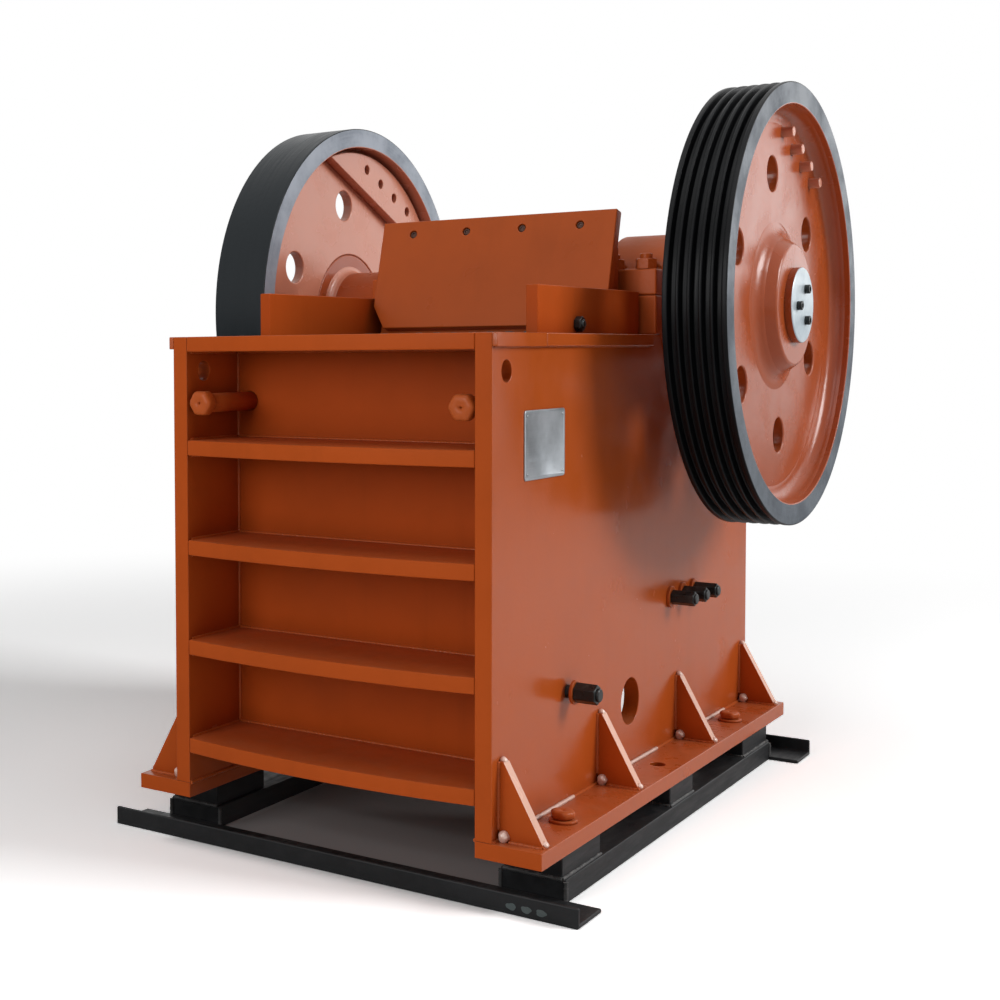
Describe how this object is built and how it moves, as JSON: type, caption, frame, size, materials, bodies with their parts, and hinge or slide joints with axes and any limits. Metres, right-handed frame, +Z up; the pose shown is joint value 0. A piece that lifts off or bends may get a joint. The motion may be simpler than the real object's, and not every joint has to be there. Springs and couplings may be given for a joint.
{
  "type": "jaw crusher",
  "caption": "Single-toggle jaw crusher: ribbed steel box frame on a skid, swing jaw on an eccentric shaft, grooved belt pulley and flywheel.",
  "frame": {"origin": "on the floor, under the middle of the machine's overall box", "axes": "+Z up; X along the eccentric shaft with the grooved pulley on +X; the ribbed front wall faces -Y"},
  "size_m": [1.404, 1.832, 1.77],
  "materials": {
    "frame_paint": "gloss burnt orange enamel",
    "housing_paint": "gloss burnt orange enamel over a casting",
    "cap_paint": "overpainted nuts",
    "bolt_paint": "overpainted bolts and washers",
    "counterweight_paint": "gloss burnt orange enamel",
    "jaw_paint": "burnt orange enamel over a casting",
    "guard_paint": "gloss burnt orange enamel",
    "pulley_rim_finish": "black grooved rim with turned grey end faces",
    "flywheel_rim_finish": "black rim with turned grey end faces",
    "wheel_paint": "gloss burnt orange enamel over a casting",
    "wear_steel": "dark cast wear steel",
    "toggle_steel": "dark cast steel",
    "shaft_steel": "turned, oiled",
    "machined_steel": "turned, dull",
    "end_plate_steel": "turned grey face with an orange edge and black screws",
    "spring_steel": "black lacquer",
    "black_fasteners": "black oxide, oiled",
    "skid_paint": "satin black",
    "nameplate_metal": "bare, no text"
  },
  "bodies": {
    "frame": {"front_wall": "frame_paint", "front_ribs": "frame_paint", "rear_wall": "frame_paint", "rear_ribs": "frame_paint", "rear_tie_plate": "frame_paint", "toggle_beam": "frame_paint", "toggle_plate": "toggle_steel", "fixed_jaw": "wear_steel", "nameplate": "nameplate_metal", "skid_cross_bars": "skid_paint", "tension_rod": "machined_steel", "tension_spring": "spring_steel", "top_rims": "frame_paint", "clamp_bolts": "bolt_paint", "cheek_bolts": "black_fasteners", "side_studs": "black_fasteners", "side_washers": "bolt_paint", "anchor_bolts": "bolt_paint", "bearing_housings": "housing_paint", "bearing_caps": "housing_paint", "cap_nuts": "cap_paint", "skid_runners": "skid_paint", "skid_pads": "skid_paint", "side_plate_left": "frame_paint", "side_plate_right": "frame_paint", "base_flange_left": "frame_paint", "base_flange_right": "frame_paint", "gussets_left": "frame_paint", "gussets_right": "frame_paint", "cheek_plate_left": "frame_paint", "cheek_plate_right": "frame_paint"},
    "rotor": {"eccentric_shaft": "shaft_steel", "pulley_rim": "pulley_rim_finish", "pulley_web": "wheel_paint", "flywheel_rim": "flywheel_rim_finish", "flywheel_web": "wheel_paint", "wheel_hubs": "wheel_paint", "counterweights": "counterweight_paint", "shaft_end_plates": "end_plate_steel"},
    "jaw": {"swing_jaw": "jaw_paint", "jaw_barrel": "jaw_paint", "barrel_rings": "jaw_paint", "moving_jaw": "wear_steel", "guard_plate": "guard_paint", "guard_screws": "black_fasteners"}
  },
  "joints": [
    {"name": "shaft_spin", "type": "hinge", "parent": "frame", "child": "rotor", "pos_m": [0, 0.214, 1.232], "axis": [1, 0, 0], "continuous": true},
    {"name": "jaw_swing", "type": "hinge", "parent": "frame", "child": "jaw", "pos_m": [0, 0.214, 1.232], "axis": [1, 0, 0], "range_deg": [-0.6, 0.6]}
  ]
}
